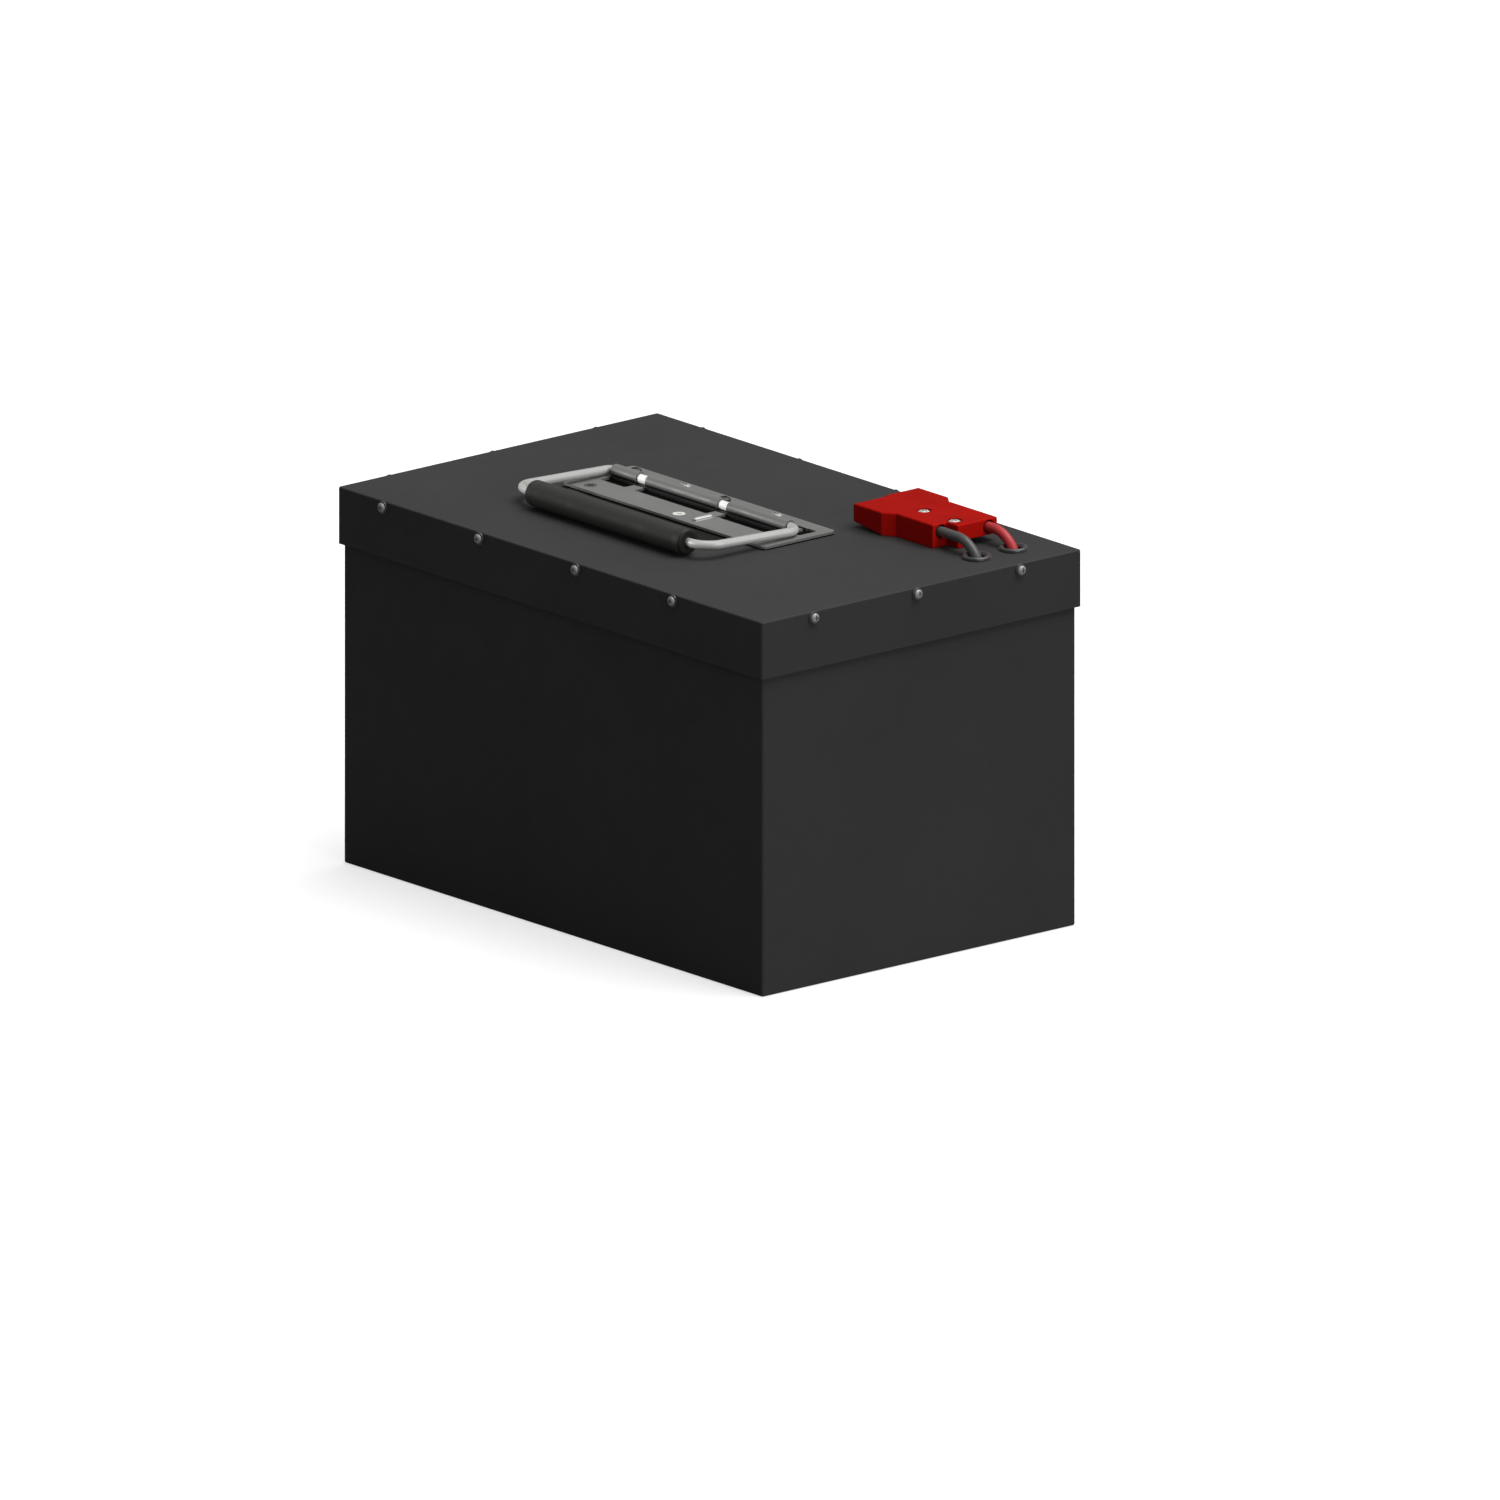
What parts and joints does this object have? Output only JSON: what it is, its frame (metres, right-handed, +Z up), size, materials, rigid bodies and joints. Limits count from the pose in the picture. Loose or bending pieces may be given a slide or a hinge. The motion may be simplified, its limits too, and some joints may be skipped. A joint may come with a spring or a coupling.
{
  "type": "battery pack",
  "caption": "Rechargeable battery pack in a black steel box with a screwed-on lid, folding carry handle and red two-pole power connector.",
  "frame": {"origin": "centre of the pack's outer box on the surface it stands on", "axes": "+X along the length towards the end where the cables enter the lid, +Y across the width towards the side where the connector is, +Z up"},
  "size_m": [0.406, 0.261, 0.2553],
  "materials": {
    "case_powder_coat": "black powder coat, fine texture",
    "lid_powder_coat": "black powder coat, fine texture",
    "black_foam": "closed-cell foam",
    "bright_steel": "bright plated steel",
    "black_rubber": "matt black rubber",
    "zinc_steel": "zinc plated",
    "grey_plate": "satin grey zinc phosphate",
    "chrome_rod": "polished chrome",
    "grip_plastic": "satin black moulding",
    "red_plastic": "moulded red",
    "silver_plate": "silver plated copper",
    "red_cable": "silicone sheath",
    "black_cable": "silicone sheath",
    "tinned_copper": "tinned",
    "cell_aluminium": "machined",
    "cell_film": "blue insulating film",
    "white_sheet": "fibre sheet",
    "glass_board": "glass-filled epoxy board",
    "clear_sheet": "polycarbonate sheet",
    "green_board": "solder mask",
    "brass_parts": "turned",
    "black_plastic": "moulded",
    "dark_aluminium": "black anodised",
    "white_plastic": "moulded",
    "ribbon_sheath": "flat ribbon sheath",
    "fuse_ceramic": "white body, tinned blades"
  },
  "bodies": {
    "pack": {"case": "case_powder_coat", "lid": "lid_powder_coat", "lid_gasket": "black_foam", "lid_screws": "bright_steel", "lid_washers": "black_rubber", "lid_nuts": "zinc_steel", "handle_plate": "grey_plate", "handle_pad": "black_rubber", "handle_backing_plate": "zinc_steel", "handle_screws": "grey_plate", "handle_flat_screws": "bright_steel", "lock_nuts": "zinc_steel", "connector_housing": "red_plastic", "connector_contacts": "silver_plate", "connector_springs": "bright_steel", "connector_screws": "bright_steel", "cable_grommets": "black_rubber", "positive_cable": "red_cable", "positive_lead": "red_cable", "negative_cable": "black_cable", "negative_lead": "black_cable", "cable_lugs": "tinned_copper", "cell_terminals": "cell_aluminium", "busbars": "tinned_copper", "flange_nuts": "zinc_steel", "cell_spacers": "white_sheet", "column_divider": "glass_board", "end_plates": "glass_board", "compression_straps": "bright_steel", "base_pad": "black_foam", "cell_cover": "clear_sheet", "bms_bracket": "zinc_steel", "bms_board": "green_board", "board_standoffs": "brass_parts", "board_screws": "bright_steel", "bms_transistors": "black_plastic", "bms_heatsink": "dark_aluminium", "terminal_studs": "brass_parts", "balance_socket": "white_plastic", "sense_harness": "ribbon_sheath", "fuse_base": "black_plastic", "fuse_link": "fuse_ceramic", "cell_01": "cell_film", "cell_02": "cell_film", "cell_03": "cell_film", "cell_04": "cell_film", "cell_05": "cell_film", "cell_06": "cell_film", "cell_07": "cell_film", "cell_08": "cell_film", "cell_09": "cell_film", "cell_10": "cell_film", "cell_11": "cell_film", "cell_12": "cell_film", "cell_13": "cell_film", "cell_14": "cell_film", "cell_15": "cell_film", "cell_16": "cell_film"},
    "handle": {"handle_bail": "chrome_rod", "handle_grip": "grip_plastic"}
  },
  "joints": [
    {"name": "handle_swing", "type": "hinge", "parent": "pack", "child": "handle", "pos_m": [-0.0191, 0.0119, 0.2436], "axis": [-1, 0, 0], "range_deg": [0, 90]}
  ]
}
